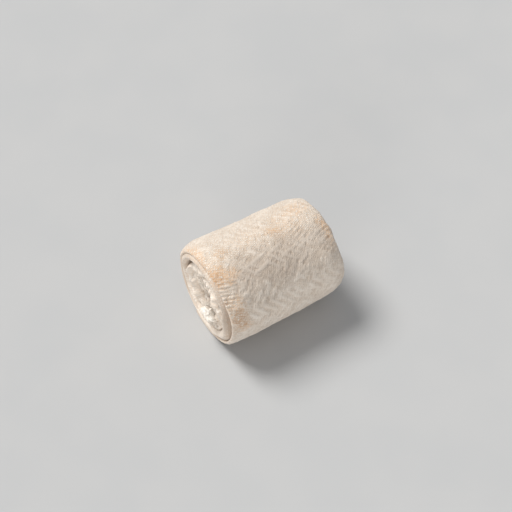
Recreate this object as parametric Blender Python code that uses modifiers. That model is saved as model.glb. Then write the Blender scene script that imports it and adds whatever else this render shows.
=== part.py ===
"""A small roll of damask: one long strip of folded cloth, wound up on itself.

Metres, +Z up. The roll lies on its side along X, and its flattened underside is at Z = 0. The strip is
one solid. It starts as an open grid that follows the winding, Solidify gives it the thickness of the
folded cloth, and Bevel rounds the folds that show at the two ends of the roll.
"""

import math
from collections import namedtuple

import bmesh
import bpy

MM = 0.001

# The roll as a whole
LENGTH = 28.6 * MM
NEAR_RADIUS = 11.48 * MM  # at the -X end, before it draws in
FAR_RADIUS = 10.80 * MM  # at the +X end, before it draws in
FLAT_DEPTH = 0.36 * MM  # how far its own weight flattens the underside

# The strip and its winding. All angles round the roll are counted from +Y (the back) over the top.
CLOTH = 1.50 * MM  # thickness of the folded strip
OUTER_CLOTH = 0.75 * MM  # the outermost turn has fewer layers
THINS_FROM_DEG = 330.0  # inward from the loose end, where the strip starts to thicken
THINS_OVER_DEG = 50.0
SLACK = 0.32 * MM  # between one turn and the next
TURNS = 5.1
END_DEG = 290.0  # where the loose end lies, tucked under the roll
LEVEL_SHARE = 0.7  # of the outermost turn keeps to the outline, and the rest steps in

# The folds at the ends
FOLD_PERCENT = 44  # of the strip's thickness and of the first row
FOLD_SEGMENTS = 2

# The grid
FACET = 1.45 * MM  # along the strip
COARSEST_DEG = 20.0  # the longest step round the core
ROWS = tuple(place * MM for place in (0, 1.1, 2.3, 4.0, 6.8, 11.0, 16.0, 20.8, 24.0, 26.2, 27.6, 28.6))

LINEN = (0.80, 0.70, 0.58, 1.0)

# Where one turn stands off the next. The gap is under the turn counted from 0, the outermost.
Gap = namedtuple("Gap", "under_turn at_deg opens spread_deg")
GAPS = (
    Gap(under_turn=0, at_deg=170, opens=1.30 * MM, spread_deg=64),
    Gap(under_turn=1, at_deg=28, opens=0.60 * MM, spread_deg=80),
    Gap(under_turn=2, at_deg=330, opens=0.25 * MM, spread_deg=80),
)
GAP_WIDENS_DEG = 28.0  # with each turn further in, as the bend evens out

# How far each end of the strip lies inside the roll's length, turn by turn from the outermost.
Ends = namedtuple("Ends", "turn near_in far_in")
ENDS = (
    Ends(turn=0.00, near_in=0.10 * MM, far_in=0.60 * MM),
    Ends(turn=0.30, near_in=0.15 * MM, far_in=0.40 * MM),
    Ends(turn=0.60, near_in=0.40 * MM, far_in=0.80 * MM),
    Ends(turn=0.80, near_in=0.20 * MM, far_in=0.60 * MM),
    Ends(turn=1.00, near_in=0.00 * MM, far_in=0.30 * MM),
    Ends(turn=1.30, near_in=0.05 * MM, far_in=0.10 * MM),
    Ends(turn=1.80, near_in=0.20 * MM, far_in=0.00 * MM),
    Ends(turn=2.40, near_in=0.15 * MM, far_in=0.40 * MM),
    Ends(turn=3.20, near_in=0.35 * MM, far_in=0.80 * MM),
    Ends(turn=4.20, near_in=0.80 * MM, far_in=1.20 * MM),
    Ends(turn=5.50, near_in=1.40 * MM, far_in=1.80 * MM),
)

# How each end of the roll draws in: evenly by draw, and more by lean on the side at lean_deg.
Shoulder = namedtuple("Shoulder", "side draw lean lean_deg length power")
SHOULDERS = (
    Shoulder(side=-1, draw=0.85 * MM, lean=0.40 * MM, lean_deg=28, length=3.8 * MM, power=2.2),
    Shoulder(side=1, draw=1.35 * MM, lean=0.15 * MM, lean_deg=60, length=5.2 * MM, power=2.2),
)
SHOULDER_LEFT = 0.4  # share of the draw that is left at the core

# Soft unevenness of the whole roll: waves round it and along it.
Wave = namedtuple("Wave", "height round_count along_count phase")
WAVES = (
    Wave(height=0.10 * MM, round_count=1, along_count=0.75, phase=4.2),
    Wave(height=0.08 * MM, round_count=2, along_count=0.5, phase=1.4),
    Wave(height=0.08 * MM, round_count=3, along_count=1.0, phase=2.1),
    Wave(height=0.05 * MM, round_count=5, along_count=1.5, phase=4.0),
)

# The crumpling of the inner turns, none at the outside and most at the core.
CRUMPLE = 0.12 * MM
CRUMPLE_COUNT = 3
CRUMPLE_PHASE = 0.9
CRUMPLE_TWIST = 0.8  # radians from end to end


def smooth(t):
    """0 below 0, 1 above 1, and a smooth rise between."""
    t = min(1.0, max(0.0, t))
    return t * t * (3 - 2 * t)


def hump(offset_deg, spread_deg):
    """1 at the middle, falling smoothly to 0 at spread_deg on either side."""
    return smooth(1 - abs(offset_deg) / spread_deg)


def between(rows, key, value, field):
    """The field, read between the two rows whose key lies on either side of the value."""
    for low, high in zip(rows, rows[1:]):
        start, stop = getattr(low, key), getattr(high, key)
        if value <= stop:
            share = smooth((value - start) / (stop - start))
            return getattr(low, field) + share * (getattr(high, field) - getattr(low, field))
    return getattr(rows[-1], field)


def thickness_at(inward_deg):
    """Thickness of the strip, inward_deg in from its loose end."""
    thicker = smooth((inward_deg - THINS_FROM_DEG) / THINS_OVER_DEG)
    return OUTER_CLOTH + thicker * (CLOTH - OUTER_CLOTH)


def gap_at(inward_deg):
    """How far the strip stands off the turn under it, beyond the usual slack."""
    opened = 0.0
    for gap in GAPS:
        place = gap.under_turn * 360 + (END_DEG - gap.at_deg) % 360
        turns_in = round((inward_deg - place) / 360)
        offset = inward_deg - place - turns_in * 360
        spread = gap.spread_deg + turns_in * GAP_WIDENS_DEG
        if turns_in >= 0:
            opened += gap.opens * hump(offset, spread)
        if turns_in >= 1:
            opened -= gap.opens * hump(offset, spread - GAP_WIDENS_DEG)
    return opened


def depth_at(inward_deg):
    """How far the outer face of the strip lies under the outline, inward_deg in from its loose end."""
    if inward_deg < 360:
        stepped = smooth((inward_deg / 360 - LEVEL_SHARE) / (1 - LEVEL_SHARE))
        return (OUTER_CLOTH + SLACK) * stepped
    above = inward_deg - 360
    return depth_at(above) + thickness_at(above) + SLACK + gap_at(above)


DEEPEST = depth_at(TURNS * 360)


def outline_at(round_deg, x, depth):
    """Radius of the roll's outside at this angle and place along it, as the turn at this depth has it."""
    along = x / LENGTH + 0.5
    inner = depth / DEEPEST
    radius = (NEAR_RADIUS + FAR_RADIUS) / 2 + (FAR_RADIUS - NEAR_RADIUS) * (along - 0.5) * (1 - inner)
    for shoulder in SHOULDERS:
        share = max(0.0, 1 - (LENGTH / 2 - shoulder.side * x) / shoulder.length)
        lean = shoulder.lean * math.cos(math.radians(round_deg - shoulder.lean_deg))
        left = 1 - (1 - SHOULDER_LEFT) * inner
        radius -= (shoulder.draw + lean) * left * share**shoulder.power
    for wave in WAVES:
        turn = math.radians(wave.round_count * round_deg) + wave.phase
        radius += wave.height * math.sin(turn) * math.cos(math.tau * wave.along_count * (along - 0.5))
    crumple = math.radians(CRUMPLE_COUNT * round_deg) + CRUMPLE_PHASE + CRUMPLE_TWIST * along
    return radius + CRUMPLE * inner * math.sin(crumple)


def winding_point(inward_deg, across):
    """A point on the middle of the strip. Across runs from 0 at the -X end to 1 at the +X end."""
    turn = inward_deg / 360
    low = -LENGTH / 2 + between(ENDS, "turn", turn, "near_in")
    high = LENGTH / 2 - between(ENDS, "turn", turn, "far_in")
    x = low + across * (high - low)
    round_deg = END_DEG - inward_deg
    outer = depth_at(inward_deg)
    middle = outer + thickness_at(inward_deg) / 2
    angle = math.radians(round_deg)
    radius = outline_at(round_deg, x, outer) - middle
    height = NEAR_RADIUS + (FAR_RADIUS - NEAR_RADIUS) * (x / LENGTH + 0.5) - FLAT_DEPTH
    z = height + radius * math.sin(angle)
    return x, radius * math.cos(angle), max(z, middle)


def winding_steps():
    """Angles inward from the loose end, about a facet apart along the strip."""
    steps, angle = [], 0.0
    while angle < TURNS * 360:
        steps.append(angle)
        radius = NEAR_RADIUS - CLOTH / 2 - depth_at(angle)
        angle += min(COARSEST_DEG, math.degrees(FACET / radius))
    return steps + [TURNS * 360]


def make_linen():
    material = bpy.data.materials.new("linen_damask")
    material.use_nodes = True
    shader = material.node_tree.nodes["Principled BSDF"]
    shader.inputs["Base Color"].default_value = LINEN
    shader.inputs["Roughness"].default_value = 0.8
    shader.inputs["Metallic"].default_value = 0.0
    return material


def make_roll(collection):
    """The strip: a grid laid along the winding, thickened, with its folds rounded."""
    steps = winding_steps()
    mesh = bpy.data.meshes.new("damask_roll")
    roll = bpy.data.objects.new("damask_roll", mesh)
    collection.objects.link(roll)
    layers = roll.vertex_groups.new(name="Layers")

    cloth = bmesh.new()
    bmesh.ops.create_grid(cloth, x_segments=len(steps) - 1, y_segments=len(ROWS) - 1, size=1.0)
    share_of_cloth = cloth.verts.layers.deform.verify()
    for vertex in cloth.verts:
        step = round((vertex.co.x + 1) / 2 * (len(steps) - 1))
        row = round((vertex.co.y + 1) / 2 * (len(ROWS) - 1))
        vertex.co = winding_point(steps[step], ROWS[row] / LENGTH)
        vertex[share_of_cloth][layers.index] = thickness_at(steps[step]) / CLOTH
    bmesh.ops.recalc_face_normals(cloth, faces=cloth.faces)
    cloth.to_mesh(mesh)
    cloth.free()
    mesh.materials.append(make_linen())
    mesh.shade_smooth()

    thicken = roll.modifiers.new("Cloth", "SOLIDIFY")
    thicken.thickness = CLOTH
    thicken.offset = 0.0
    thicken.use_even_offset = True
    thicken.vertex_group = layers.name

    fold = roll.modifiers.new("Folds", "BEVEL")
    fold.offset_type = "PERCENT"
    fold.width_pct = FOLD_PERCENT
    fold.segments = FOLD_SEGMENTS
    fold.limit_method = "ANGLE"
    fold.angle_limit = math.radians(50)
    fold.use_clamp_overlap = False
    return roll


def centre_on_origin(roll):
    """Moves the roll so that the middle of its underside is the origin."""
    bpy.context.view_layer.update()
    shape = roll.evaluated_get(bpy.context.evaluated_depsgraph_get())
    corners = [shape.matrix_world @ vertex.co for vertex in shape.data.vertices]
    low = [min(corner[axis] for corner in corners) for axis in range(3)]
    high = [max(corner[axis] for corner in corners) for axis in range(3)]
    roll.location = (-(low[0] + high[0]) / 2, -(low[1] + high[1]) / 2, -low[2])


def main():
    for old in list(bpy.data.objects):
        bpy.data.objects.remove(old, do_unlink=True)
    collection = bpy.data.collections.new("roll_of_damask")
    bpy.context.scene.collection.children.link(collection)
    centre_on_origin(make_roll(collection))


main()
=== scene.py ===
"""The roll of damask as the photograph shows it: relief, figure, stains, frayed core, light and camera.

The cloth follows the CAD model's own winding on a much finer grid, so that its ribs, damask figure and
puckers stand in real relief. Metres, +Z up. Angles round the roll are counted from +Y over the top.
"""

import math
from collections import namedtuple

import bpy
import numpy as np
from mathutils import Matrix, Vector


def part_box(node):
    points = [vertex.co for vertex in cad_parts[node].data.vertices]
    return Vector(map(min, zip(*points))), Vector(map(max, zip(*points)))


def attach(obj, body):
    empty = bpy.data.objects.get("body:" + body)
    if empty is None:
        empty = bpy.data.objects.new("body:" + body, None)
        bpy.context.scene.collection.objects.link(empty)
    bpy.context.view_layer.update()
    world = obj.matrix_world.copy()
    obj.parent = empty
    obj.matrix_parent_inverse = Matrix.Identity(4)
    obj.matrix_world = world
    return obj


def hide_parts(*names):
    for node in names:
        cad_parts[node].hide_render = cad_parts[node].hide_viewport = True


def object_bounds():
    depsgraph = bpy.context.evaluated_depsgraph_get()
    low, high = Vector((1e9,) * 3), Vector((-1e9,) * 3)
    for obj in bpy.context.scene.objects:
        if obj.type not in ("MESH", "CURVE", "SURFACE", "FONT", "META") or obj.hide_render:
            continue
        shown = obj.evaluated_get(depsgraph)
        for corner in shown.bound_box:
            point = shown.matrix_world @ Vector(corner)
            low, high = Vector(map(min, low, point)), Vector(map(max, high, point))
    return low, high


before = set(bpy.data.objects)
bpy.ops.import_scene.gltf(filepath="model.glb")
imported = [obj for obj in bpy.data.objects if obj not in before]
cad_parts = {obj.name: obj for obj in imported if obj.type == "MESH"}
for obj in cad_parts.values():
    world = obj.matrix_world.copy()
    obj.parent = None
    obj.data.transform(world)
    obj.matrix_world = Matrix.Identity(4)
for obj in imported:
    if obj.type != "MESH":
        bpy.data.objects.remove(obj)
cad_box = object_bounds()

MM = 0.001
NODE = "damask_roll"

# The winding. Its values are the CAD model's, apart from the near ends of the outermost turn and the
# near shoulder, which are drawn in up to 0.6 mm further.
LENGTH = 28.6 * MM
NEAR_RADIUS = 11.48 * MM
FAR_RADIUS = 10.80 * MM
FLAT_DEPTH = 0.36 * MM
CLOTH = 1.50 * MM
OUTER_CLOTH = 0.75 * MM
THINS_FROM_DEG = 330.0
THINS_OVER_DEG = 50.0
SLACK = 0.32 * MM
TURNS = 5.1
END_DEG = 290.0
LEVEL_SHARE = 0.7

Gap = namedtuple("Gap", "under_turn at_deg opens spread_deg")
GAPS = (
    Gap(under_turn=0, at_deg=170, opens=1.30 * MM, spread_deg=64),
    Gap(under_turn=1, at_deg=28, opens=0.60 * MM, spread_deg=80),
    Gap(under_turn=2, at_deg=330, opens=0.25 * MM, spread_deg=80),
)
GAP_WIDENS_DEG = 28.0

Ends = namedtuple("Ends", "turn near_in far_in")
ENDS = (
    Ends(turn=0.00, near_in=0.10 * MM, far_in=0.60 * MM),
    Ends(turn=0.22, near_in=0.30 * MM, far_in=0.40 * MM),
    Ends(turn=0.34, near_in=0.70 * MM, far_in=0.45 * MM),
    Ends(turn=0.46, near_in=0.60 * MM, far_in=0.60 * MM),
    Ends(turn=0.60, near_in=0.40 * MM, far_in=0.80 * MM),
    Ends(turn=0.80, near_in=0.20 * MM, far_in=0.60 * MM),
    Ends(turn=1.00, near_in=0.00 * MM, far_in=0.30 * MM),
    Ends(turn=1.30, near_in=0.05 * MM, far_in=0.10 * MM),
    Ends(turn=1.80, near_in=0.20 * MM, far_in=0.00 * MM),
    Ends(turn=2.40, near_in=0.15 * MM, far_in=0.40 * MM),
    Ends(turn=3.20, near_in=0.35 * MM, far_in=0.80 * MM),
    Ends(turn=4.20, near_in=0.80 * MM, far_in=1.20 * MM),
    Ends(turn=5.50, near_in=1.40 * MM, far_in=1.80 * MM),
)

Shoulder = namedtuple("Shoulder", "side draw lean lean_deg length power")
SHOULDERS = (
    Shoulder(side=-1, draw=1.05 * MM, lean=0.65 * MM, lean_deg=55, length=4.4 * MM, power=2.2),
    Shoulder(side=1, draw=1.35 * MM, lean=0.15 * MM, lean_deg=60, length=5.2 * MM, power=2.2),
)
SHOULDER_LEFT = 0.4

Wave = namedtuple("Wave", "height round_count along_count phase")
WAVES = (
    Wave(height=0.10 * MM, round_count=1, along_count=0.75, phase=4.2),
    Wave(height=0.08 * MM, round_count=2, along_count=0.5, phase=1.4),
    Wave(height=0.08 * MM, round_count=3, along_count=1.0, phase=2.1),
    Wave(height=0.05 * MM, round_count=5, along_count=1.5, phase=4.0),
)
CRUMPLE = 0.12 * MM
CRUMPLE_COUNT = 3
CRUMPLE_PHASE = 0.9
CRUMPLE_TWIST = 0.8

CHART_UNIT = 10 * MM  # one step of the weave map

# The fine grid
ROUND_RADIUS = 11.1 * MM  # turns an angle into a length of cloth
FOLD_REACH = 0.55 * MM  # how far the rounded folds at the ends reach along the roll
FOLD_ARC = 8  # points in each fold
OUTER_ROWS = 258
OUTER_STEP = 0.245 * MM
FIGURED_STEP = 0.17 * MM  # a finer step where the puckers and chevrons are
FIGURED_FROM_DEG = 95.0
FIGURED_TO_DEG = 185.0
INNER_ROWS = 56
INNER_STEP = 0.36 * MM
SPLIT_DEG = 362.0  # inward from the loose end, where the outermost turn ends and the rest takes over
OVERLAP_DEG = 12.0
TUCK = 0.06 * MM  # how much thinner the rest is, to hide inside the outermost turn's end

# The weave. It was wound up askew, so its ribs slant across the roll.
BIAS = 0.45  # how far a rib shifts along the roll for each length round it
BIAS_FROM_DEG = 118.0
RIB_PITCH = 0.51 * MM  # measured along the roll
RIB_HEIGHT = 0.035 * MM
RIB_WANDER = 0.15 * MM
BEAD = 0.40 * MM
BEAD_HEIGHT = 0.07 * MM
STROKE_PITCH = 1.05 * MM
STROKE_SLANT = 0.42
STROKE_HEIGHT = 0.09 * MM
STROKES_AT = (8.0 * MM, 92.0)
STROKES_HALF = (11.0 * MM, 8.0 * MM)
FIGURE_HEIGHT = 0.13 * MM
LUMP_HEIGHT = 0.09 * MM

FLOAT_PITCH = 0.50 * MM  # from one thread's float to the next along a rib
PEBBLY_TO_DEG = 128.0
PEBBLY_OVER_DEG = 34.0
LEAST_PEBBLY = 0.38

# The damask figure: leaves round a branch, and panels of slanting bars between them
REPEAT_ALONG = 14.4 * MM
REPEAT_ROUND = 17.6 * MM
BRANCH_AT = (-4.7 * MM, 114.0)  # along the roll, and the angle round it
Leaf = namedtuple("Leaf", "along round_off turn_deg length width")
LEAVES = (
    Leaf(along=0.0 * MM, round_off=-0.6 * MM, turn_deg=-15, length=3.9 * MM, width=0.34 * MM),
    Leaf(along=1.4 * MM, round_off=1.1 * MM, turn_deg=-15, length=2.6 * MM, width=0.38 * MM),
    Leaf(along=5.6 * MM, round_off=-1.3 * MM, turn_deg=-20, length=2.4 * MM, width=0.30 * MM),
    Leaf(along=7.1 * MM, round_off=0.5 * MM, turn_deg=-22, length=1.9 * MM, width=0.34 * MM),
    Leaf(along=-2.9 * MM, round_off=2.0 * MM, turn_deg=-30, length=1.2 * MM, width=0.34 * MM),
    Leaf(along=10.2 * MM, round_off=3.0 * MM, turn_deg=-24, length=1.4 * MM, width=0.42 * MM),
    Leaf(along=7.4 * MM, round_off=6.2 * MM, turn_deg=-32, length=1.5 * MM, width=0.44 * MM),
    Leaf(along=9.3 * MM, round_off=4.9 * MM, turn_deg=-40, length=1.1 * MM, width=0.36 * MM),
)
BARS_AT = (-3.4 * MM, 164.0)
BARS_HALF = (6.8 * MM, 4.1 * MM)
BAR_PITCH = 2.0 * MM  # along the roll
BAR_SLANT = 0.90
BAR_ROW = 3.2 * MM  # the bars lean the other way in every second row

# Where wear has left the figure clear, and how much of it is left elsewhere
CLEAR_AT = (-4.0 * MM, 142.0)
CLEAR_HALF = (17.0 * MM, 15.0 * MM)
FAINT = 0.46

# The puckers that fan out from the -X rim
PUCKER_FROM_DEG = 98.0
PUCKER_TO_DEG = 166.0
PUCKER_PITCH = 0.82 * MM
PUCKER_HEIGHT = 0.11 * MM
PUCKER_SLANT = 0.24
PUCKER_REACH = 5.6 * MM

# Stains, listed one by one: along the roll, angle round it, size both ways and strength
Stain = namedtuple("Stain", "kind along at_deg half_along half_round strength")
STAINS = (
    Stain("peach", -12.4 * MM, 108, 2.2 * MM, 3.6 * MM, 1.00),
    Stain("peach", -10.6 * MM, 112, 2.4 * MM, 2.2 * MM, 0.70),
    Stain("peach", -11.8 * MM, 150, 2.2 * MM, 4.4 * MM, 0.80),
    Stain("peach", -9.8 * MM, 88, 2.0 * MM, 2.2 * MM, 0.50),
    Stain("peach", -13.6 * MM, 64, 1.5 * MM, 7.0 * MM, 0.80),
    Stain("peach", -11.2 * MM, 172, 2.2 * MM, 2.6 * MM, 0.60),
    Stain("peach", 2.6 * MM, 88, 1.9 * MM, 1.1 * MM, 0.60),
    Stain("peach", 6.0 * MM, 84, 4.6 * MM, 3.6 * MM, 0.30),
    Stain("peach", 9.8 * MM, 70, 3.6 * MM, 2.6 * MM, 0.45),
    Stain("peach", 12.9 * MM, 108, 1.5 * MM, 5.0 * MM, 0.75),
    Stain("peach", -3.0 * MM, 84, 5.5 * MM, 2.4 * MM, 0.22),
    Stain("peach", 2.0 * MM, 300, 7.0 * MM, 5.0 * MM, 0.35),
    Stain("peach", -9.0 * MM, 350, 4.0 * MM, 5.0 * MM, 0.45),
    Stain("rust", -12.6 * MM, 112, 1.8 * MM, 2.2 * MM, 0.75),
    Stain("rust", -13.3 * MM, 139, 0.9 * MM, 1.0 * MM, 0.85),
    Stain("rust", -11.6 * MM, 162, 1.8 * MM, 3.2 * MM, 0.80),
    Stain("rust", 12.3 * MM, 120, 0.7 * MM, 0.8 * MM, 0.70),
    Stain("rust", -2.9 * MM, 70, 0.4 * MM, 1.5 * MM, 0.45),
    Stain("rust", 13.8 * MM, 104, 0.9 * MM, 4.0 * MM, 0.50),
    Stain("rust", -13.9 * MM, 84, 0.8 * MM, 5.4 * MM, 0.50),
    Stain("rust", 2.6 * MM, 91, 1.2 * MM, 0.7 * MM, 0.40),
    # Not a stain: a broad band of painted shade round the lower middle of the roll, where the light falls off.
    Stain("painted_shade", 0.0 * MM, 121, 20.0 * MM, 6.0 * MM, 0.95),
)

# The folds at both ends are fuller than the strip, so that neighbouring turns touch there
PUFF = 0.19 * MM
PUFF_UNEVEN = 0.16 * MM  # in the crumpled turns
INNER_FOLD_REACH = 0.95 * MM  # the thicker turns have rounder folds
CRESCENT_DEG = 166.0  # where the second turn's outer face shows, in a recess between turns, and carries painted shade
INNER_SHEEN = 0.42  # how much of the figure's lightness the inner turns have
MEETS_AT_DEG = 196.0  # below this the second turn meets the outermost one again
CLOSED = 0.30 * MM  # how far the second turn swells up to the outermost one, where they don't part

# Further in than this the turns press on each other, and the gaps are shallow. On the low side the
# weight of the roll presses them together out to their rims.
FILL_FROM = 1.0 * MM
FILL_OVER = 1.6 * MM
LOW_SIDE_DEG = 228.0

# The crumpled middle of the -X end
CRUSHED_RADIUS = 8.7 * MM
CRUSHED_DEPTH = 5.0 * MM
CRUSH_SIDEWAYS = 0.55 * MM
CRUSH_ALONG = 1.35 * MM
CRUSH_SIZE = 1.9 * MM
FAR_CRUSH = 0.35  # how much of that the +X end has
CRINKLE = 0.45 * MM  # the smaller folds, along the roll
CRINKLE_SIZE = 0.75 * MM
HOLE_AT = (-1.7 * MM, -1.2 * MM)  # from the roll's axis, to the back and up
HOLE_RADIUS = 1.9 * MM
HOLE_PUSH = 0.50 * MM
HOLE_DEPTH = 2.4 * MM

# The frayed threads
Tuft = namedtuple("Tuft", "count along at_deg from_axis half_round half_across half_along length")
TUFTS = (
    Tuft(count=1500, along=-14.10 * MM, at_deg=240, from_axis=4.2 * MM, half_round=2.8 * MM,
         half_across=2.3 * MM, half_along=0.8 * MM, length=1.5 * MM),
    Tuft(count=200, along=-13.5 * MM, at_deg=60, from_axis=3.4 * MM, half_round=2.6 * MM,
         half_across=1.7 * MM, half_along=0.4 * MM, length=1.0 * MM),
    Tuft(count=90, along=13.0 * MM, at_deg=200, from_axis=3.0 * MM, half_round=3.0 * MM,
         half_across=2.0 * MM, half_along=0.5 * MM, length=1.5 * MM),
)
WAD_HALF = (1.05 * MM, 1.95 * MM, 2.20 * MM)  # along the roll, toward its axis and round it
WAD_COUNT = (84, 54)
WAD_ROUGH = 0.50 * MM
THREAD_RADIUS = 0.035 * MM
THREAD_POINTS = 9
THREAD_SIDES = 4

# The linen's colours, with the tones of its painted shade and painted highlights
LINEN_DARK = (0.80, 0.69, 0.58, 1)
LINEN_LIGHT = (0.91, 0.82, 0.72, 1)
FIGURE_PALE = (0.94, 0.86, 0.77, 1)
GLINT_PALE = (0.97, 0.91, 0.83, 1)
CREST_HIGHLIGHT = (1.0, 0.95, 0.88, 1)
FURROW_SHADE = (0.50, 0.38, 0.29, 1)
PIT_SHADE = (0.46, 0.34, 0.25, 1)
GRAIN_GAP_SHADE = (0.54, 0.38, 0.25, 1)
PUCKER_SHADE = (0.42, 0.27, 0.16, 1)
PAINTED_SHADE_GREY = (0.44, 0.355, 0.285, 1)
PEACH = (0.78, 0.49, 0.27, 1)
RUST = (0.42, 0.21, 0.09, 1)

# The light: strength and width of each sun, and how bright the room is
WINDOW_STRENGTH, WINDOW_ANGLE_DEG = 2.80, 26
CARD_STRENGTH, CARD_ANGLE_DEG = 1.52, 40
ROOM_STRENGTH = 0.37

# The photograph's view, fitted to the roll's outline in its 512 x 512 pixels
VIEW_AZIMUTH_DEG = -31.0
VIEW_ELEVATION_DEG = 55.0
VIEW_DISTANCE = 354 * MM
VIEW_LENS_MM = 120.0
VIEW_SENSOR_MM = 36.0
PIXEL = 0.2077 * MM
PICTURE_MIDDLE_PX = (256.0, 256.0)
ROLL_MIDDLE_PX = (262.6, 267.6)


def smooth(t):
    """0 below 0, 1 above 1, and a smooth rise between."""
    t = np.clip(t, 0.0, 1.0)
    return t * t * (3 - 2 * t)


def hump(offset, spread):
    """1 at the middle, falling smoothly to 0 at spread on either side."""
    return smooth(1 - np.abs(offset) / spread)


def read(rows, field, turn):
    """The field of a table of turns, read smoothly between its rows."""
    turns = np.array([row.turn for row in rows])
    values = np.array([getattr(row, field) for row in rows])
    low = np.clip(np.searchsorted(turns, turn) - 1, 0, len(rows) - 2)
    share = smooth((turn - turns[low]) / (turns[low + 1] - turns[low]))
    return values[low] + share * (values[low + 1] - values[low])


def lumps(along, round_off, size, seed):
    """Seeded soft noise from -1 to 1, with lumps of this size."""
    lattice = np.random.default_rng(seed).uniform(-1, 1, (128, 128))
    cell_a, cell_b = np.floor(along / size), np.floor(round_off / size)
    part_a, part_b = smooth(along / size - cell_a), smooth(round_off / size - cell_b)
    a, b = cell_a.astype(int) % 128, cell_b.astype(int) % 128
    next_a, next_b = (a + 1) % 128, (b + 1) % 128
    low = lattice[a, b] * (1 - part_a) + lattice[next_a, b] * part_a
    high = lattice[a, next_b] * (1 - part_a) + lattice[next_a, next_b] * part_a
    return low * (1 - part_b) + high * part_b


def thickness_at(inward):
    thicker = smooth((inward - THINS_FROM_DEG) / THINS_OVER_DEG)
    return OUTER_CLOTH + thicker * (CLOTH - OUTER_CLOTH)


def gap_at(inward):
    opened = np.zeros_like(inward)
    for gap in GAPS:
        place = gap.under_turn * 360 + (END_DEG - gap.at_deg) % 360
        turns_in = np.round((inward - place) / 360)
        offset = inward - place - turns_in * 360
        spread = gap.spread_deg + turns_in * GAP_WIDENS_DEG
        opened += gap.opens * np.where(turns_in >= 0, hump(offset, spread), 0)
        above = np.maximum(spread - GAP_WIDENS_DEG, 1.0)
        opened -= gap.opens * np.where(turns_in >= 1, hump(offset, above), 0)
    return opened


def depth_at(inward):
    """How far the outer face of the strip lies under the roll's outline."""
    above = np.array(inward, dtype=float)
    depth = np.zeros_like(above)
    while np.any(above >= 360):
        inner = above >= 360
        above = np.where(inner, above - 360, above)
        depth += np.where(inner, thickness_at(above) + SLACK + gap_at(above), 0)
    stepped = smooth((above / 360 - LEVEL_SHARE) / (1 - LEVEL_SHARE))
    return depth + (OUTER_CLOTH + SLACK) * stepped


DEEPEST = float(depth_at(np.array([TURNS * 360]))[0])


def outline_at(round_deg, x, depth):
    """Radius of the roll's outside, as the turn at this depth has it."""
    along = x / LENGTH + 0.5
    inner = depth / DEEPEST
    radius = (NEAR_RADIUS + FAR_RADIUS) / 2 + (FAR_RADIUS - NEAR_RADIUS) * (along - 0.5) * (1 - inner)
    for shoulder in SHOULDERS:
        share = np.maximum(0.0, 1 - (LENGTH / 2 - shoulder.side * x) / shoulder.length)
        lean = shoulder.lean * np.cos(np.radians(round_deg - shoulder.lean_deg))
        left = 1 - (1 - SHOULDER_LEFT) * inner
        radius = radius - (shoulder.draw + lean) * left * share**shoulder.power
    for wave in WAVES:
        turn = np.radians(wave.round_count * round_deg) + wave.phase
        radius = radius + wave.height * np.sin(turn) * np.cos(math.tau * wave.along_count * (along - 0.5))
    crumple = np.radians(CRUMPLE_COUNT * round_deg) + CRUMPLE_PHASE + CRUMPLE_TWIST * along
    return radius + CRUMPLE * inner * np.sin(crumple)


def middle_of(inward, across):
    """Points on the middle of the strip. Across runs from 0 at the -X end to 1 at the +X end."""
    turn = inward / 360
    low = -LENGTH / 2 + read(ENDS, "near_in", turn)
    high = LENGTH / 2 - read(ENDS, "far_in", turn)
    x = low + across * (high - low)
    outer = depth_at(inward)
    middle = outer + thickness_at(inward) / 2
    angle = np.radians(END_DEG - inward)
    radius = outline_at(END_DEG - inward, x, outer) - middle
    height = NEAR_RADIUS + (FAR_RADIUS - NEAR_RADIUS) * (x / LENGTH + 0.5) - FLAT_DEPTH
    z = np.maximum(height + radius * np.sin(angle), middle)
    return np.stack([x, radius * np.cos(angle), z], axis=-1)


def outward_of(inward, across):
    """Unit vectors that point out of the strip's outer face."""
    round_step, along_step = 0.5, 0.002
    round_way = middle_of(inward - round_step, across) - middle_of(inward + round_step, across)
    along_way = middle_of(inward, across + along_step) - middle_of(inward, across - along_step)
    outward = np.cross(along_way, round_way)
    outward /= np.linalg.norm(outward, axis=-1, keepdims=True)
    angle = np.radians(END_DEG - inward)
    outside = outward[..., 1] * np.cos(angle) + outward[..., 2] * np.sin(angle)
    return outward * np.where(outside < 0, -1, 1)[..., None]


def section_of(outer_places, inner_places, fold_reach):
    """One loop round the strip: where each point lies across it, and how high in its thickness."""
    fold = fold_reach / LENGTH
    bend = np.linspace(0, math.pi, FOLD_ARC + 2)[1:-1]
    far_fold = (1 - fold + fold * np.sin(bend), np.cos(bend))
    near_fold = (fold - fold * np.sin(bend), -np.cos(bend))
    across = np.concatenate([outer_places, far_fold[0], inner_places[::-1], near_fold[0]])
    outer_level, inner_level = np.ones(len(outer_places)), -np.ones(len(inner_places))
    level = np.concatenate([outer_level, far_fold[1], inner_level, near_fold[1]])
    return across, level


def crowded_places(count, fold_reach):
    """Places across the strip between the two folds, closer together near both ends."""
    fold = fold_reach / LENGTH
    place = np.linspace(-1, 1, count)
    crowded = np.sign(place) * (1 - (1 - np.abs(place)) ** 2.2)
    return 0.5 + crowded * (0.5 - fold)


def rounded_end(inward, start, stop, thickness):
    """The share of the thickness that is left near the two ends of a stretch, so that they are round."""
    length = np.minimum(inward - start, stop - inward) * math.radians(1) * ROUND_RADIUS
    share = np.clip(length / (thickness / 2), 0.0, 1.0)
    return np.maximum(0.12, np.sqrt(1 - (1 - share) ** 2))


def lattice_faces(columns, points):
    """Quads of a tube of loops, with a cap at each end."""
    column, point = np.meshgrid(np.arange(columns - 1), np.arange(points), indexing="ij")
    after = (point + 1) % points
    quads = np.stack([
        column * points + point,
        column * points + after,
        (column + 1) * points + after,
        (column + 1) * points + point,
    ], axis=-1).reshape(-1, 4)
    caps = [list(range(points))[::-1], list(range((columns - 1) * points, columns * points))]
    return quads.tolist() + caps


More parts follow.
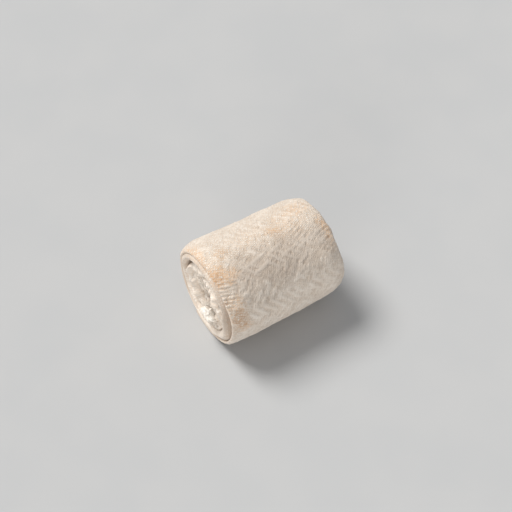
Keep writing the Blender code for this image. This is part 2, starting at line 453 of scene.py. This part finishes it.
def add_mesh(name, points, faces, fields, material, weave=None):
    """A new object with its float fields, one value a vertex, and its weave map."""
    mesh = bpy.data.meshes.new(name)
    mesh.from_pydata(points.reshape(-1, 3).tolist(), [], faces)
    if weave is not None:
        corner_vertex = np.empty(len(mesh.loops), dtype=np.int32)
        mesh.loops.foreach_get("vertex_index", corner_vertex)
        chart = mesh.uv_layers.new(name="Weave")
        chart.data.foreach_set("uv", weave.reshape(-1, 2)[corner_vertex].astype(np.float32).ravel())
    for field, values in fields.items():
        layer = mesh.attributes.new(field, "FLOAT", "POINT")
        layer.data.foreach_set("value", values.astype(np.float32).ravel())
    mesh.materials.append(material)
    mesh.shade_smooth()
    mesh.update()
    piece = bpy.data.objects.new(name, mesh)
    bpy.context.scene.collection.objects.link(piece)
    return piece


def wrapped(offset, period):
    return offset - period * np.round(offset / period)


def leaf_at(along, round_off, leaf):
    """1 inside a pointed leaf, 0 outside it, with a soft edge."""
    turn = math.radians(leaf.turn_deg)
    length_way = along * math.cos(turn) + round_off * math.sin(turn)
    width_way = -along * math.sin(turn) + round_off * math.cos(turn)
    reach = np.clip(1 - (length_way / leaf.length) ** 2, 0, 1)
    return smooth((reach * leaf.width - np.abs(width_way)) / (0.22 * MM) + 0.5) * (reach > 0)


def leaves_at(along, round_off):
    """The leaves of the figure, on a half-drop repeat."""
    figure = np.zeros_like(along)
    middle = math.radians(BRANCH_AT[1]) * ROUND_RADIUS
    for leaf in LEAVES:
        a = wrapped(along - BRANCH_AT[0] - leaf.along, REPEAT_ALONG)
        b = wrapped(round_off - middle - leaf.round_off, REPEAT_ROUND)
        figure = np.maximum(figure, leaf_at(a, b, leaf))
    return figure


def bars_at(along, round_off):
    """Panels of slanting bars in rows, as herringbone has them."""
    figure = np.zeros_like(along)
    middle = math.radians(BARS_AT[1]) * ROUND_RADIUS
    for drop in (0, 1):
        a = wrapped(along - BARS_AT[0] - drop * REPEAT_ALONG / 2, REPEAT_ALONG)
        b = wrapped(round_off - middle - drop * REPEAT_ROUND / 2, REPEAT_ROUND)
        leaned = np.abs((b / (2 * BAR_ROW) + 0.25) % 1 - 0.5) * 2 * BAR_ROW
        bar = np.cos(math.tau * (a + BAR_SLANT * leaned) / BAR_PITCH)
        inside = 1.12 - np.abs(a) / BARS_HALF[0] - np.abs(b) / BARS_HALF[1] * 0.62
        row = smooth(0.5 + 2.2 * np.cos(math.tau * b / (2 * BAR_ROW)))
        figure = np.maximum(figure, smooth(bar * 1.5 + 0.45) * smooth(inside / 0.22) * (0.55 + 0.40 * row))
    return figure


def figure_at(along, on_rib, round_off):
    """The damask figure, 0 to 1. It steps from rib to rib, as woven figures do."""
    clear_along = hump(along - CLEAR_AT[0], CLEAR_HALF[0])
    clear_round = hump(round_off - math.radians(CLEAR_AT[1]) * ROUND_RADIUS, CLEAR_HALF[1])
    kept = FAINT + 1.25 * (1 - FAINT) * clear_along * clear_round
    worn = kept * (0.85 + 0.30 * lumps(along, round_off, 4.5 * MM, 11))
    drawn = np.maximum(leaves_at(on_rib, round_off), bars_at(on_rib, round_off))
    return np.clip(drawn * worn, 0, 1)


def puckers_at(along, at_deg):
    """Ridges that run in from the -X rim, as if a thread had been drawn tight there."""
    round_off = np.radians(at_deg) * ROUND_RADIUS
    from_rim = along + LENGTH / 2
    wander = 0.16 * MM * lumps(along, round_off, 2.0 * MM, 21)
    phase = (round_off - PUCKER_SLANT * from_rim + wander) / PUCKER_PITCH
    middle = (PUCKER_FROM_DEG + PUCKER_TO_DEG) / 2
    round_share = hump(at_deg - middle, (PUCKER_TO_DEG - PUCKER_FROM_DEG) / 2 * 1.25)
    reach = PUCKER_REACH * (0.8 + 0.3 * lumps(np.floor(phase) * MM, np.zeros_like(phase), MM, 23))
    along_share = smooth(1.15 - from_rim / reach) * smooth(from_rim / (1.0 * MM))
    return np.cos(math.tau * phase) * round_share * along_share


def pebbly_at(along, at_deg):
    """How far the floats of thread stand up, 0 to 1: most on the top and near the -X rim."""
    top = smooth((PEBBLY_TO_DEG - at_deg) / PEBBLY_OVER_DEG)
    rim = hump(along + LENGTH / 2, 7.0 * MM)
    return LEAST_PEBBLY + (1 - LEAST_PEBBLY) * np.maximum(top, 0.8 * rim)


def stains_at(kind, along, at_deg):
    """How strong a kind of stain, or the band of painted shade, is, 0 to 1, with uneven edges."""
    round_off = np.radians(at_deg) * ROUND_RADIUS
    uneven = 0.24 * lumps(along, round_off, 1.3 * MM, 31) + 0.16 * lumps(along, round_off, 0.55 * MM, 32)
    total = np.zeros_like(along)
    for stain in STAINS:
        if stain.kind != kind:
            continue
        a = (along - stain.along) / stain.half_along
        b = wrapped(at_deg - stain.at_deg, 360) * math.radians(1) * ROUND_RADIUS / stain.half_round
        near = smooth(1.25 - np.sqrt(a * a + b * b) + uneven)
        total = 1 - (1 - total) * (1 - stain.strength * near)
    return total


def weave_fields(along, at_deg, outer_share):
    """What the outer face shows: its relief in metres, its fields, 0 to 1, and its weave map."""
    round_off = np.radians(at_deg) * ROUND_RADIUS
    slid = along + BIAS * (round_off - math.radians(BIAS_FROM_DEG) * ROUND_RADIUS)
    count = (slid + RIB_WANDER * lumps(along, round_off, 3.0 * MM, 41)) / RIB_PITCH
    number = np.floor(count + 0.5)
    rib = 0.5 + 0.5 * np.cos(math.tau * count)
    bead = lumps(number * 7.3 * BEAD, round_off, BEAD, 42)
    figure = figure_at(along, along - (count - number) * RIB_PITCH, round_off)
    pucker = puckers_at(along, at_deg)
    bent = 0.35 * MM * lumps(along, round_off, 2.4 * MM, 45)
    stroke = np.cos(math.tau * (round_off + STROKE_SLANT * along + bent) / STROKE_PITCH)
    stroke = stroke * smooth(0.5 + 1.2 * lumps(along, round_off, 2.2 * MM, 46)) * (1 - figure)
    upper = hump(round_off - math.radians(STROKES_AT[1]) * ROUND_RADIUS, STROKES_HALF[1])
    stroke = stroke * (0.25 + 0.75 * upper * hump(along - STROKES_AT[0], STROKES_HALF[0]))
    soft = lumps(along, round_off, 3.4 * MM, 43) + 0.5 * lumps(along, round_off, 1.6 * MM, 44)
    relief = RIB_HEIGHT * (rib - 0.5) * (1 - 0.75 * figure)
    relief = relief + BEAD_HEIGHT * bead * rib * (1 - 0.8 * figure)
    relief = relief + STROKE_HEIGHT * stroke + FIGURE_HEIGHT * figure
    relief = relief + PUCKER_HEIGHT * pucker + LUMP_HEIGHT * soft
    fields = {
        "rib": rib * outer_share,
        "bead": np.clip(0.5 + 0.5 * bead, 0, 1) * outer_share,
        "figure": figure * outer_share,
        # The stroke and pucker fields are high in the grooves between the strokes and the puckers, where the
        # material paints shade.
        "stroke": np.clip(0.5 - 0.5 * stroke, 0, 1) * outer_share,
        "pucker": np.clip(0.5 - 0.5 * pucker, 0, 1) * outer_share,
        "peach": stains_at("peach", along, at_deg) * (0.35 + 0.65 * outer_share),
        "rust": stains_at("rust", along, at_deg) * (0.2 + 0.8 * outer_share),
        "painted_shade": stains_at("painted_shade", along, at_deg) * outer_share,
        "pebbly": pebbly_at(along, at_deg) * outer_share,
    }
    drift = 0.16 * MM * lumps(along, round_off, 1.4 * MM, 47)
    weave = np.stack([count * RIB_PITCH, round_off + drift], axis=-1) / CHART_UNIT
    return relief * outer_share, fields, weave


def outer_steps():
    """Angles inward from the loose end for the outermost turn, finer where the figure is clearest."""
    steps, inward = [0.0, 0.35, 0.9], 1.6
    while inward < SPLIT_DEG - 1.6:
        steps.append(inward)
        figured = FIGURED_FROM_DEG < END_DEG - inward < FIGURED_TO_DEG
        inward += math.degrees((FIGURED_STEP if figured else OUTER_STEP) / ROUND_RADIUS)
    return np.array(steps + [SPLIT_DEG - 0.9, SPLIT_DEG - 0.35, SPLIT_DEG])


def inner_steps():
    """Angles inward for the other turns."""
    start, stop = SPLIT_DEG - OVERLAP_DEG, TURNS * 360
    steps, inward = [start], start
    while inward < stop - 4:
        radius = NEAR_RADIUS - CLOTH / 2 - float(depth_at(np.array([inward]))[0])
        inward += math.degrees(INNER_STEP / max(radius, 1.6 * MM))
        steps.append(min(inward, stop - 3))
    return np.array(steps + [stop - 1.5, stop - 0.5, stop])


def cad_shift(points):
    """Moves the winding onto the CAD node, which was centred on the origin."""
    low, high = (np.array(corner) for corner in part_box(NODE))
    own_low, own_high = points.reshape(-1, 3).min(axis=0), points.reshape(-1, 3).max(axis=0)
    shift = (low + high) / 2 - (own_low + own_high) / 2
    shift[2] = low[2] - own_low[2]
    return shift


def make_outer_turn(material):
    """The outermost turn, with the whole weave in relief on its outer face."""
    fold = FOLD_REACH / LENGTH
    outer_places = np.linspace(fold, 1 - fold, OUTER_ROWS)
    across, level = section_of(outer_places, crowded_places(18, FOLD_REACH), FOLD_REACH)
    inward = outer_steps()
    grid_inward, grid_across = np.meshgrid(inward, across, indexing="ij")
    middle = middle_of(grid_inward, grid_across)
    outward = outward_of(grid_inward, grid_across)
    half = thickness_at(grid_inward) / 2
    half = half * rounded_end(grid_inward, 0.0, SPLIT_DEG, 2 * half)
    inside = half + 0.85 * np.maximum(gap_at(grid_inward), 0) * deep_in(grid_across, 0.3 * MM)
    plain = middle + outward * (np.where(level > 0, half, inside) * level)[..., None]
    shift = cad_shift(plain)
    outer_share = np.broadcast_to(smooth(level * 1.2), grid_inward.shape)
    relief, fields, weave = weave_fields(middle[..., 0], END_DEG - grid_inward, outer_share)
    points = plain + outward * relief[..., None] + shift
    points[..., 2] = np.maximum(points[..., 2], 0.0)
    faces = lattice_faces(len(inward), len(across))
    return add_mesh("outer_turn", points, faces, fields, material, weave), shift


def deep_in(across, starts):
    """0 at both ends of the roll and 1 in from them, where the turns press on each other."""
    from_end = np.minimum(across, 1 - across) * LENGTH
    return smooth((from_end - starts) / FILL_OVER)


def filled_at(inward, across):
    """How much the inner face of the strip swells, away from both ends, to close the gap under it."""
    room = SLACK + np.maximum(gap_at(inward), 0)
    last_turn = smooth((TURNS * 360 - 360 - inward) / 60)
    lower = hump((END_DEG - inward - LOW_SIDE_DEG + 180) % 360 - 180, 70)
    return 0.85 * room * np.maximum(deep_in(across, FILL_FROM), lower) * last_turn


def closed_at(inward):
    """How much the second turn's outer face swells to meet the outermost turn."""
    gap = np.maximum(gap_at(np.minimum(inward - 360, 359)), 0)
    low = smooth((END_DEG + 360 - inward - MEETS_AT_DEG) / 12)
    parted = smooth(gap / (0.45 * MM)) * (1 - low)
    meets = CLOSED * (1 - parted) + 0.9 * gap * low
    return meets * smooth((760 - inward) / 40) * smooth((inward - 375) / 20)


def hollow_at(points):
    """How far each point lies from the middle of the hole at the -X end, and its share of it, 0 to 1."""
    across, up = points[..., 1], points[..., 2] - NEAR_RADIUS + FLAT_DEPTH
    from_hole = np.hypot(across - HOLE_AT[0], up - HOLE_AT[1]) + 0.05 * MM
    depth = points[..., 0] + LENGTH / 2
    return from_hole, smooth(1 - from_hole / HOLE_RADIUS) * smooth(1.4 - depth / CRUSHED_DEPTH)


def crushed(points):
    """The middle of both ends, pushed about and inward as crumpled cloth is."""
    across, up = points[..., 1], points[..., 2] - NEAR_RADIUS + FLAT_DEPTH
    from_axis = np.hypot(across, up)
    depth = np.minimum(points[..., 0] + LENGTH / 2, LENGTH / 2 - points[..., 0] + 1.5 * MM)
    share = smooth((CRUSHED_RADIUS - from_axis) / (3.0 * MM)) * smooth(1.2 - depth / CRUSHED_DEPTH)
    from_hole, hollow = hollow_at(points)
    moved = points.copy()
    moved[..., 1] += HOLE_PUSH * hollow * (across - HOLE_AT[0]) / from_hole
    moved[..., 2] += HOLE_PUSH * hollow * (up - HOLE_AT[1]) / from_hole
    moved[..., 0] += HOLE_DEPTH * hollow
    into_roll = share * np.where(points[..., 0] < 0, 1, -FAR_CRUSH)
    moved[..., 0] += CRUSH_ALONG * into_roll * (0.25 + 0.75 * lumps(across, up, CRUSH_SIZE * 0.8, 51))
    moved[..., 0] += CRINKLE * into_roll * lumps(across, up, CRINKLE_SIZE, 54)
    moved[..., 1] += CRUSH_SIDEWAYS * share * lumps(across, up, CRUSH_SIZE, 52)
    moved[..., 2] += CRUSH_SIDEWAYS * share * lumps(across, up, CRUSH_SIZE, 53)
    return moved


def make_inner_turns(material, shift):
    """The rest of the winding, which shows at both ends and inside the crescent."""
    outer_places = crowded_places(INNER_ROWS, INNER_FOLD_REACH)
    inner_places = crowded_places(INNER_ROWS // 2, INNER_FOLD_REACH)
    across, level = section_of(outer_places, inner_places, INNER_FOLD_REACH)
    inward = inner_steps()
    grid_inward, grid_across = np.meshgrid(inward, across, indexing="ij")
    middle = middle_of(grid_inward, grid_across)
    outward = outward_of(grid_inward, grid_across)
    length_in = grid_inward * math.radians(1) * 7 * MM
    rim = smooth(1 - np.minimum(grid_across, 1 - grid_across) * LENGTH / (3.0 * MM))
    half = (thickness_at(grid_inward) - TUCK) / 2
    inmost = smooth((grid_inward - 640) / 160)
    uneven = lumps(length_in, grid_across * LENGTH, 1.5 * MM, 61)
    half = half + rim * (PUFF * 0.9 * inmost + (0.3 * PUFF + PUFF_UNEVEN * inmost) * uneven)
    half = half * rounded_end(grid_inward, inward[0], inward[-1], 2 * half)
    inside = half + filled_at(grid_inward, grid_across)
    outside = half + closed_at(grid_inward)
    plain = middle + outward * (np.where(level > 0, outside, inside) * level)[..., None]
    plain[..., 0] += rim * 0.10 * MM * lumps(length_in, half * 0, 1.2 * MM, 62)
    points = crushed(plain) + shift
    rib = 0.5 + 0.5 * np.cos(math.tau * middle[..., 0] / RIB_PITCH)
    weave = np.stack([middle[..., 0], length_in], axis=-1) / CHART_UNIT
    at_deg = END_DEG - grid_inward
    first = smooth((760 - grid_inward) / 120)
    second_turn = (grid_inward > 375) & (grid_inward < 600)
    crescent = hump(at_deg + 360 - CRESCENT_DEG, 52) * smooth(level * 1.5) * second_turn
    second_band = smooth((grid_inward - 400) / 60) * smooth((690 - grid_inward) / 60)
    fields = {
        "rib": rib * 0.8,
        "bead": 0.5 + 0.5 * lumps(length_in, middle[..., 0], 0.6 * MM, 63),
        # Painted shade: in the crescent between the turns, and less on the second turn's band, the figure's
        # lightness is taken out, and the field below darkens these and the core's hole.
        "figure": INNER_SHEEN * (1 - crescent) * (1 - 0.5 * second_band),
        "stroke": np.zeros_like(rib),
        "pucker": np.zeros_like(rib),
        "painted_shade": np.maximum(np.maximum(crescent, 0.42 * second_band), 1.1 * hollow_at(plain)[1]),
        "pebbly": np.full_like(rib, 0.7),
        "peach": stains_at("peach", middle[..., 0], at_deg) * 0.35 * first,
        "rust": stains_at("rust", middle[..., 0], at_deg) * 0.25 * first,
    }
    faces = lattice_faces(len(inward), len(across))
    return add_mesh("inner_turns", points, faces, fields, material, weave)


def thread_path(random, start, heading, length):
    """A thread that wanders from its start."""
    step = length / (THREAD_POINTS - 1)
    path = [start]
    for _ in range(THREAD_POINTS - 1):
        heading = heading + random.normal(0, 0.42, 3)
        heading = heading / np.linalg.norm(heading)
        path.append(path[-1] + heading * step)
    return np.array(path)


def thread_tube(path, radius):
    """Points round a path, one ring for each of its points, tapering at both ends."""
    way = np.gradient(path, axis=0)
    way /= np.linalg.norm(way, axis=1, keepdims=True)
    side = np.cross(way, np.array([0.31, 0.52, 0.79]))
    side /= np.linalg.norm(side, axis=1, keepdims=True)
    other = np.cross(way, side)
    place = np.linspace(0, 1, len(path))
    taper = np.sqrt(np.clip(1 - (2 * place - 1) ** 6, 0.05, 1))
    rings = []
    for corner in range(THREAD_SIDES):
        turn = math.tau * corner / THREAD_SIDES
        rings.append(path + (side * math.cos(turn) + other * math.sin(turn)) * (radius * taper)[:, None])
    return np.stack(rings, axis=1)


def wad_points(tuft):
    """A lumpy wad of teased threads, as rings from its -X end to its +X end."""
    turn = np.linspace(0, math.tau, WAD_COUNT[0], endpoint=False)
    rise = np.linspace(0.06, math.pi - 0.06, WAD_COUNT[1])
    rise, turn = np.meshgrid(rise, turn, indexing="ij")
    level_toward = WAD_HALF[1] * np.sin(rise) * np.cos(turn)
    level_round = WAD_HALF[2] * np.sin(rise) * np.sin(turn)
    rough = lumps(level_toward, level_round, 0.80 * MM, 81)
    rough = rough + 0.8 * lumps(level_toward, level_round, 0.36 * MM, 82)
    reach = 1 + rough * WAD_ROUGH / WAD_HALF[1]
    along = tuft.along - WAD_HALF[0] * reach * np.cos(rise)
    toward = tuft.from_axis + WAD_HALF[1] * reach * np.sin(rise) * np.cos(turn)
    round_off = WAD_HALF[2] * reach * np.sin(rise) * np.sin(turn)
    angle = math.radians(tuft.at_deg)
    across = toward * math.cos(angle) - round_off * math.sin(angle)
    up = toward * math.sin(angle) + round_off * math.cos(angle)
    return np.stack([along, across, NEAR_RADIUS - FLAT_DEPTH + up], axis=-1)


def make_frayed(material, shift):
    """Loose threads at the core and here and there on the rims, as one mesh."""
    random = np.random.default_rng(71)
    axis_height = NEAR_RADIUS - FLAT_DEPTH
    tubes = []
    for tuft in TUFTS:
        for _ in range(tuft.count):
            off = random.normal(0, 0.45, 3)
            round_angle = math.radians(tuft.at_deg) + off[0] * tuft.half_round / tuft.from_axis
            radius = tuft.from_axis + off[1] * tuft.half_across
            start = np.array([
                tuft.along + off[2] * tuft.half_along,
                radius * math.cos(round_angle),
                axis_height + radius * math.sin(round_angle),
            ])
            heading = random.normal(0, 1, 3) * np.array([0.35, 1, 1])
            length = tuft.length * random.uniform(0.5, 1.2)
            path = thread_path(random, start, heading / np.linalg.norm(heading), length)
            limit = LENGTH / 2 + 0.25 * MM
            path[:, 0] = np.clip(path[:, 0], -limit, limit)
            tubes.append(thread_tube(path, THREAD_RADIUS * random.uniform(0.55, 1.1)))
    faces = []
    tube_faces = lattice_faces(THREAD_POINTS, THREAD_SIDES)
    size = THREAD_POINTS * THREAD_SIDES
    for number in range(len(tubes)):
        faces += [[corner + number * size for corner in face] for face in tube_faces]
    wad = wad_points(TUFTS[0])
    first = len(tubes) * size
    faces += [[corner + first for corner in face] for face in lattice_faces(wad.shape[0], wad.shape[1])]
    points = np.concatenate([np.array(tubes).reshape(-1, 3), wad.reshape(-1, 3)]) + shift
    tone = np.concatenate([np.repeat(random.uniform(0, 1, len(tubes)), size), np.ones(wad[..., 0].size)])
    return add_mesh("frayed_threads", points, faces, {"tone": tone}, material)


class Nodes:
    """Short calls for building a node material."""

    def __init__(self, name):
        self.material = bpy.data.materials.new(name)
        self.material.use_nodes = True
        self.tree = self.material.node_tree
        self.shader = self.tree.nodes["Principled BSDF"]

    def add(self, kind, inputs=(), **settings):
        node = self.tree.nodes.new(kind)
        for key, value in settings.items():
            setattr(node, key, value)
        for key, value in dict(inputs).items():
            self.put(value, node.inputs[key])
        return node

    def put(self, value, socket):
        if isinstance(value, bpy.types.NodeSocket):
            self.tree.links.new(value, socket)
        else:
            socket.default_value = value

    def field(self, name):
        return self.add("ShaderNodeAttribute", attribute_name=name).outputs["Fac"]

    def math(self, operation, first, second=0.0, clamp=False):
        node = self.add("ShaderNodeMath", {0: first, 1: second}, operation=operation, use_clamp=clamp)
        return node.outputs[0]

    def mix(self, share, first, second, blend="MIX"):
        node = self.add("ShaderNodeMix", data_type="RGBA", blend_type=blend)
        self.put(share, node.inputs[0])
        self.put(first, node.inputs[6])
        self.put(second, node.inputs[7])
        return node.outputs[2]

    def noise(self, scale, detail=2.0):
        place = self.add("ShaderNodeTexCoord").outputs["Object"]
        return self.noise_on(place, scale, detail)

    def noise_on(self, place, scale, detail):
        node = self.add("ShaderNodeTexNoise", {"Vector": place, "Scale": scale, "Detail": detail})
        return node.outputs["Fac"]

    def tint(self, colour, share, strength, tone):
        """The colour, drawn toward a tone where the share is high."""
        return self.mix(self.math("MULTIPLY", share, strength), colour, tone)

    def wave(self, turns):
        """A wave from 0 to 1, at its top at every whole number of turns."""
        cosine = self.math("COSINE", self.math("MULTIPLY", turns, math.tau))
        return self.math("MULTIPLY", self.math("ADD", cosine, 1.0), 0.5)

    def floats(self):
        """The height of the weave, 0 to 1: floats of thread, set like bricks from rib to rib."""
        chart = self.add("ShaderNodeUVMap", uv_map="Weave").outputs[0]
        split = self.add("ShaderNodeSeparateXYZ", {"Vector": chart})
        uneven = self.noise_on(chart, 21.0, 1.0)
        askew = self.noise_on(chart, 11.0, 2.0)
        count = self.math("MULTIPLY", split.outputs[0], CHART_UNIT / RIB_PITCH)
        count = self.math("ADD", count, self.math("MULTIPLY", askew, 0.9))
        number = self.math("FLOOR", self.math("ADD", count, 0.5))
        shifted = self.math("ADD", self.math("MULTIPLY", number, 0.5), self.math("MULTIPLY", uneven, 1.7))
        along_rib = self.math("MULTIPLY", split.outputs[1], CHART_UNIT / FLOAT_PITCH)
        thread = self.wave(self.math("ADD", along_rib, shifted))
        rib = self.math("ADD", self.math("MULTIPLY", self.wave(count), 0.7), 0.3)
        worn = self.between(uneven, 0.30, 0.62)
        return self.math("MULTIPLY", self.math("MULTIPLY", thread, rib), self.math("ADD", worn, 0.35))

    def between(self, value, low, high):
        node = self.add("ShaderNodeMapRange", {0: value, 1: low, 2: high}, interpolation_type="SMOOTHSTEP")
        return node.outputs[0]


def make_linen():
    """Ivory linen: a ribbed ground, a lighter figure, stains, painted shade in the furrows, pits, gaps and
    grooves, and painted highlights on the thread crests.
    """
    nodes = Nodes("ivory_linen_damask")
    rib, bead = nodes.field("rib"), nodes.field("bead")
    figure, pucker = nodes.field("figure"), nodes.field("pucker")
    peach, rust = nodes.field("peach"), nodes.field("rust")

    grain = nodes.floats()
    plain_weave = nodes.math("SUBTRACT", 1.0, nodes.math("MULTIPLY", figure, 0.8))
    plain_weave = nodes.math("MULTIPLY", plain_weave, nodes.field("pebbly"))
    mottle = nodes.between(nodes.noise(420, 3.0), 0.30, 0.72)
    colour = nodes.mix(mottle, LINEN_DARK, LINEN_LIGHT)
    no_figure = nodes.math("SUBTRACT", 1.0, figure)
    # Painted shade: the furrows between the ribs are darkened.
    furrow_shade = nodes.math("MULTIPLY", nodes.math("SUBTRACT", 1.0, rib, clamp=True), no_figure)
    colour = nodes.tint(colour, furrow_shade, 0.22, FURROW_SHADE)
    # Painted shade: the low places between the beads are darkened.
    pit_shade = nodes.math("MULTIPLY", nodes.between(bead, 0.50, 0.12), no_figure)
    colour = nodes.tint(colour, pit_shade, 0.22, PIT_SHADE)
    # Painted highlight: glints on the high beads along the rib crests.
    glint = nodes.math("MULTIPLY", nodes.between(bead, 0.62, 0.92), rib)
    colour = nodes.tint(colour, glint, 0.25, GLINT_PALE)
    colour = nodes.tint(colour, figure, 0.60, FIGURE_PALE)
    # Painted shade: the gaps between the floats of thread are darkened.
    gap = nodes.math("MULTIPLY", nodes.between(grain, 0.34, 0.04), plain_weave)
    colour = nodes.tint(colour, gap, 0.40, GRAIN_GAP_SHADE)
    # Painted highlight: the crests of the floats are lightened.
    crest_highlight = nodes.math("MULTIPLY", nodes.between(grain, 0.50, 0.95), plain_weave)
    colour = nodes.tint(colour, crest_highlight, 0.80, CREST_HIGHLIGHT)
    # Painted shade: the broad band round the lower middle, and on the inner turns the crescent, the second
    # turn's band and the core's hole.
    colour = nodes.tint(colour, nodes.field("painted_shade"), 0.62, PAINTED_SHADE_GREY)
    # Painted shade in the grooves between the slanting strokes.
    colour = nodes.tint(colour, nodes.between(nodes.field("stroke"), 0.55, 1.0), 0.30, FURROW_SHADE)

    patchy = nodes.between(nodes.noise(1500, 3.0), 0.40, 0.62)
    low_lying = nodes.between(grain, 0.55, 0.10)
    held = nodes.math("ADD", nodes.math("MULTIPLY", patchy, 0.35), nodes.math("MULTIPLY", low_lying, 0.50))
    stained = nodes.math("MULTIPLY", peach, held, clamp=True)
    colour = nodes.mix(stained, colour, PEACH)
    darker = nodes.math("MULTIPLY", rust, nodes.math("MULTIPLY", held, 0.75), clamp=True)
    colour = nodes.mix(darker, colour, RUST)
    # Painted shade in the grooves between the puckers at the -X rim.
    colour = nodes.tint(colour, nodes.between(pucker, 0.55, 1.0), 0.35, PUCKER_SHADE)

    fibre = nodes.noise(5200, 2.0)
    height = nodes.math("ADD", nodes.math("MULTIPLY", fibre, 0.35), nodes.math("MULTIPLY", grain, plain_weave))
    bump = nodes.add("ShaderNodeBump", {"Strength": 1.0, "Distance": 0.11 * MM, "Height": height})
    nodes.put(colour, nodes.shader.inputs["Base Color"])
    nodes.put(bump.outputs[0], nodes.shader.inputs["Normal"])
    nodes.shader.inputs["Roughness"].default_value = 1.0
    nodes.shader.inputs["Sheen Weight"].default_value = 0.18
    nodes.shader.inputs["Sheen Roughness"].default_value = 0.5
    nodes.shader.inputs["Specular IOR Level"].default_value = 0.3
    return nodes.material


def make_thread():
    """Bleached linen fibre, each thread a little lighter or darker."""
    nodes = Nodes("frayed_linen_thread")
    colour = nodes.mix(nodes.field("tone"), (0.84, 0.76, 0.67, 1), (0.92, 0.86, 0.78, 1))
    grain = nodes.noise(5200, 1.0)
    colour = nodes.mix(nodes.math("MULTIPLY", grain, 0.15), colour, (0.80, 0.70, 0.58, 1))
    bump = nodes.add("ShaderNodeBump", {"Strength": 0.3, "Distance": 0.02 * MM, "Height": grain})
    nodes.put(colour, nodes.shader.inputs["Base Color"])
    nodes.put(nodes.math("ADD", nodes.math("MULTIPLY", grain, 0.2), 0.65), nodes.shader.inputs["Roughness"])
    nodes.put(bump.outputs[0], nodes.shader.inputs["Normal"])
    nodes.shader.inputs["Sheen Weight"].default_value = 0.2
    return nodes.material


def make_floor():
    """A plain pale board."""
    nodes = Nodes("pale_board")
    grain = nodes.between(nodes.noise(60, 2.0), 0.3, 0.7)
    colour = nodes.mix(grain, (0.520, 0.525, 0.530, 1), (0.535, 0.537, 0.539, 1))
    nodes.put(colour, nodes.shader.inputs["Base Color"])
    nodes.shader.inputs["Roughness"].default_value = 0.9
    nodes.shader.inputs["Specular IOR Level"].default_value = 0.15
    half = 1.5
    corners = [(-half, -half, 0), (half, -half, 0), (half, half, 0), (-half, half, 0)]
    floor = add_mesh("floor", np.array(corners, dtype=float), [[0, 1, 2, 3]], {}, nodes.material)


def view_axes():
    """Toward the camera, to the picture's right, and up in the picture."""
    azimuth, elevation = math.radians(VIEW_AZIMUTH_DEG), math.radians(VIEW_ELEVATION_DEG)
    toward = Vector((
        math.sin(azimuth) * math.cos(elevation),
        -math.cos(azimuth) * math.cos(elevation),
        math.sin(elevation),
    ))
    right = Vector((math.cos(azimuth), math.sin(azimuth), 0))
    return toward, right, toward.cross(right)


def make_camera():
    toward, right, up = view_axes()
    low, high = cad_box
    middle = Vector((0, 0, (low[2] + high[2]) / 2))
    right_px = PICTURE_MIDDLE_PX[0] - ROLL_MIDDLE_PX[0]
    down_px = PICTURE_MIDDLE_PX[1] - ROLL_MIDDLE_PX[1]
    aim = middle + right * right_px * PIXEL - up * down_px * PIXEL
    data = bpy.data.cameras.new("camera")
    data.lens = VIEW_LENS_MM
    data.sensor_width = VIEW_SENSOR_MM
    data.clip_start = 0.01
    camera = bpy.data.objects.new("camera", data)
    camera.location = aim + toward * VIEW_DISTANCE
    camera.rotation_euler = toward.to_track_quat("Z", "Y").to_euler()
    bpy.context.scene.collection.objects.link(camera)
    bpy.context.scene.camera = camera


def add_sun(name, direction, strength, angle_deg, colour):
    data = bpy.data.lights.new(name, "SUN")
    data.energy = strength
    data.angle = math.radians(angle_deg)
    data.color = colour
    sun = bpy.data.objects.new(name, data)
    sun.rotation_euler = Vector(direction).to_track_quat("Z", "Y").to_euler()
    bpy.context.scene.collection.objects.link(sun)


def make_light():
    """A wide soft window from the upper left and even light from all round."""
    toward, right, up = view_axes()
    away = Vector((-toward.x, -toward.y, 0)).normalized()
    window = -right * 0.72 + away * 0.52 + Vector((0, 0, 1.30))
    add_sun("window", window, WINDOW_STRENGTH, WINDOW_ANGLE_DEG, (1.0, 0.985, 0.96))
    card = -right * 0.35 - away * 0.92 + Vector((0, 0, 0.08))
    add_sun("white_card", card, CARD_STRENGTH, CARD_ANGLE_DEG, (1.0, 0.985, 0.97))
    world = bpy.data.worlds.new("room")
    world.use_nodes = True
    world.node_tree.nodes["Background"].inputs["Color"].default_value = (0.97, 0.985, 1.0, 1)
    world.node_tree.nodes["Background"].inputs["Strength"].default_value = ROOM_STRENGTH
    bpy.context.scene.world = world
    bpy.context.scene.view_settings.view_transform = "Standard"


def main():
    linen, thread = make_linen(), make_thread()
    outer, shift = make_outer_turn(linen)
    inner = make_inner_turns(linen, shift)
    frayed = make_frayed(thread, shift)
    for piece in (outer, inner, frayed):
        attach(piece, "root")
    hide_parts(NODE)
    make_floor()
    make_camera()
    make_light()


main()
